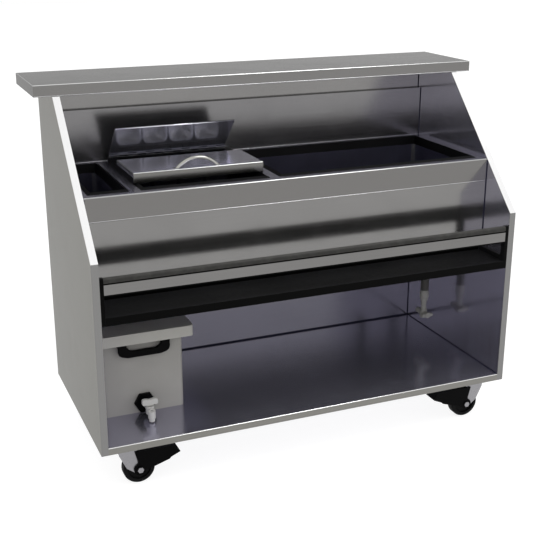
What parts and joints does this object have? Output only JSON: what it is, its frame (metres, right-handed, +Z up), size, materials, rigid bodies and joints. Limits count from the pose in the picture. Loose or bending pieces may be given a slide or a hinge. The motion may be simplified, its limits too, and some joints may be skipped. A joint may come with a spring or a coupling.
{
  "type": "mobile bar",
  "caption": "Mobile bar on locking casters with sloping side panels, raised bar top, work deck with sunken bins, cocktail station, bottle rail and a pull-out waste tank.",
  "frame": {"origin": "floor level under the middle of the bounding box", "axes": "+X to the right seen from the bartender's side, -Y towards the bartender, +Z up"},
  "size_m": [1.525, 0.7086, 1.1775],
  "materials": {
    "stainless": "satin brushed",
    "black_coat": "satin",
    "grey_rubber": "satin",
    "black_plastic": "satin",
    "insulation": "matte",
    "white_plastic": "satin",
    "tank_plastic": "matte",
    "zinc_steel": "zinc plated",
    "wheel_rubber": "matte",
    "brake_plastic": "satin"
  },
  "bodies": {
    "cabinet": {"left_skin": "stainless", "left_liner": "stainless", "right_skin": "stainless", "right_liner": "stainless", "back_skin": "stainless", "back_liner": "stainless", "base_pan": "stainless", "base_channels": "zinc_steel", "bar_top": "stainless", "deck": "stainless", "apron": "stainless", "backsplash": "stainless", "rail_tray": "black_coat", "rail_ends": "black_coat", "rail_bar": "black_coat", "rail_strip": "stainless", "rail_lip": "grey_rubber", "well_collar": "black_plastic", "station_collar": "black_plastic", "ice_collar": "black_plastic", "well_liner": "stainless", "station_liner": "stainless", "ice_liner": "stainless", "ice_shell": "insulation", "station_frame": "black_plastic", "hinge_pin": "stainless", "drain_pipe": "black_plastic", "valve_body": "white_plastic", "caster_plates": "zinc_steel", "caster_bolts": "zinc_steel"},
    "lid": {"station_lid": "stainless"},
    "cover": {"station_cover": "stainless", "cover_handle": "stainless"},
    "pan_1": {"pan_1": "stainless"},
    "pan_2": {"pan_2": "stainless"},
    "pan_3": {"pan_3": "stainless"},
    "pan_4": {"pan_4": "stainless"},
    "drain_knob": {"valve_knob": "white_plastic"},
    "tank": {"tank_body": "tank_plastic", "tank_handle": "black_plastic", "tank_nut": "black_plastic", "tap_body": "white_plastic"},
    "tank_cover": {"tank_lid": "tank_plastic"},
    "tap_handle": {"tap_knob": "white_plastic"},
    "caster_fl": {"fork_fl": "zinc_steel", "axle_fl": "zinc_steel"},
    "roller_fl": {"wheel_fl": "wheel_rubber"},
    "pedal_fl": {"brake_fl": "brake_plastic"},
    "caster_fr": {"fork_fr": "zinc_steel", "axle_fr": "zinc_steel"},
    "roller_fr": {"wheel_fr": "wheel_rubber"},
    "pedal_fr": {"brake_fr": "brake_plastic"},
    "caster_bl": {"fork_bl": "zinc_steel", "axle_bl": "zinc_steel"},
    "roller_bl": {"wheel_bl": "wheel_rubber"},
    "pedal_bl": {"brake_bl": "brake_plastic"},
    "caster_br": {"fork_br": "zinc_steel", "axle_br": "zinc_steel"},
    "roller_br": {"wheel_br": "wheel_rubber"},
    "pedal_br": {"brake_br": "brake_plastic"}
  },
  "joints": [
    {"name": "lid_hinge", "type": "hinge", "parent": "cabinet", "child": "lid", "pos_m": [-0.306, 0.1969, 0.9147], "axis": [-1, 0, 0], "range_deg": [-41, 59]},
    {"name": "cover_lift", "type": "slide", "parent": "cabinet", "child": "cover", "axis": [0, 0, 1], "range_m": [0, 0.15]},
    {"name": "pan_1_lift", "type": "slide", "parent": "cabinet", "child": "pan_1", "axis": [0, 0, 1], "range_m": [0, 0.03]},
    {"name": "pan_2_lift", "type": "slide", "parent": "cabinet", "child": "pan_2", "axis": [0, 0, 1], "range_m": [0, 0.03]},
    {"name": "pan_3_lift", "type": "slide", "parent": "cabinet", "child": "pan_3", "axis": [0, 0, 1], "range_m": [0, 0.03]},
    {"name": "pan_4_lift", "type": "slide", "parent": "cabinet", "child": "pan_4", "axis": [0, 0, 1], "range_m": [0, 0.03]},
    {"name": "drain_turn", "type": "hinge", "parent": "cabinet", "child": "drain_knob", "pos_m": [0.609, 0.0199, 0.262], "axis": [0, 1, 0], "range_deg": [0, 90]},
    {"name": "tank_pull", "type": "slide", "parent": "cabinet", "child": "tank", "axis": [0, -1, 0], "range_m": [0, 0.35]},
    {"name": "tank_cover_lift", "type": "slide", "parent": "tank", "child": "tank_cover", "axis": [0, 0, 1], "range_m": [0, 0.05]},
    {"name": "tap_turn", "type": "hinge", "parent": "tank", "child": "tap_handle", "pos_m": [-0.518, -0.2201, 0.2053], "axis": [0, 0, 1], "range_deg": [0, 90]},
    {"name": "swivel_fl", "type": "hinge", "parent": "cabinet", "child": "caster_fl", "pos_m": [-0.62, -0.3001, 0.124], "axis": [0, 0, 1], "continuous": true},
    {"name": "roll_fl", "type": "hinge", "parent": "caster_fl", "child": "roller_fl", "pos_m": [-0.585, -0.3001, 0.05], "axis": [0, 1, 0], "continuous": true},
    {"name": "brake_press_fl", "type": "hinge", "parent": "caster_fl", "child": "pedal_fl", "pos_m": [-0.585, -0.3001, 0.05], "axis": [0, 1, 0], "range_deg": [0, 15]},
    {"name": "swivel_fr", "type": "hinge", "parent": "cabinet", "child": "caster_fr", "pos_m": [0.62, -0.3001, 0.124], "axis": [0, 0, 1], "continuous": true},
    {"name": "roll_fr", "type": "hinge", "parent": "caster_fr", "child": "roller_fr", "pos_m": [0.585, -0.3001, 0.05], "axis": [0, 1, 0], "continuous": true},
    {"name": "brake_press_fr", "type": "hinge", "parent": "caster_fr", "child": "pedal_fr", "pos_m": [0.585, -0.3001, 0.05], "axis": [0, -1, 0], "range_deg": [0, 15]},
    {"name": "swivel_bl", "type": "hinge", "parent": "cabinet", "child": "caster_bl", "pos_m": [-0.62, 0.2299, 0.124], "axis": [0, 0, 1], "continuous": true},
    {"name": "roll_bl", "type": "hinge", "parent": "caster_bl", "child": "roller_bl", "pos_m": [-0.585, 0.2299, 0.05], "axis": [0, 1, 0], "continuous": true},
    {"name": "brake_press_bl", "type": "hinge", "parent": "caster_bl", "child": "pedal_bl", "pos_m": [-0.585, 0.2299, 0.05], "axis": [0, 1, 0], "range_deg": [0, 15]},
    {"name": "swivel_br", "type": "hinge", "parent": "cabinet", "child": "caster_br", "pos_m": [0.62, 0.2299, 0.124], "axis": [0, 0, 1], "continuous": true},
    {"name": "roll_br", "type": "hinge", "parent": "caster_br", "child": "roller_br", "pos_m": [0.585, 0.2299, 0.05], "axis": [0, 1, 0], "continuous": true},
    {"name": "brake_press_br", "type": "hinge", "parent": "caster_br", "child": "pedal_br", "pos_m": [0.585, 0.2299, 0.05], "axis": [0, -1, 0], "range_deg": [0, 15]}
  ]
}
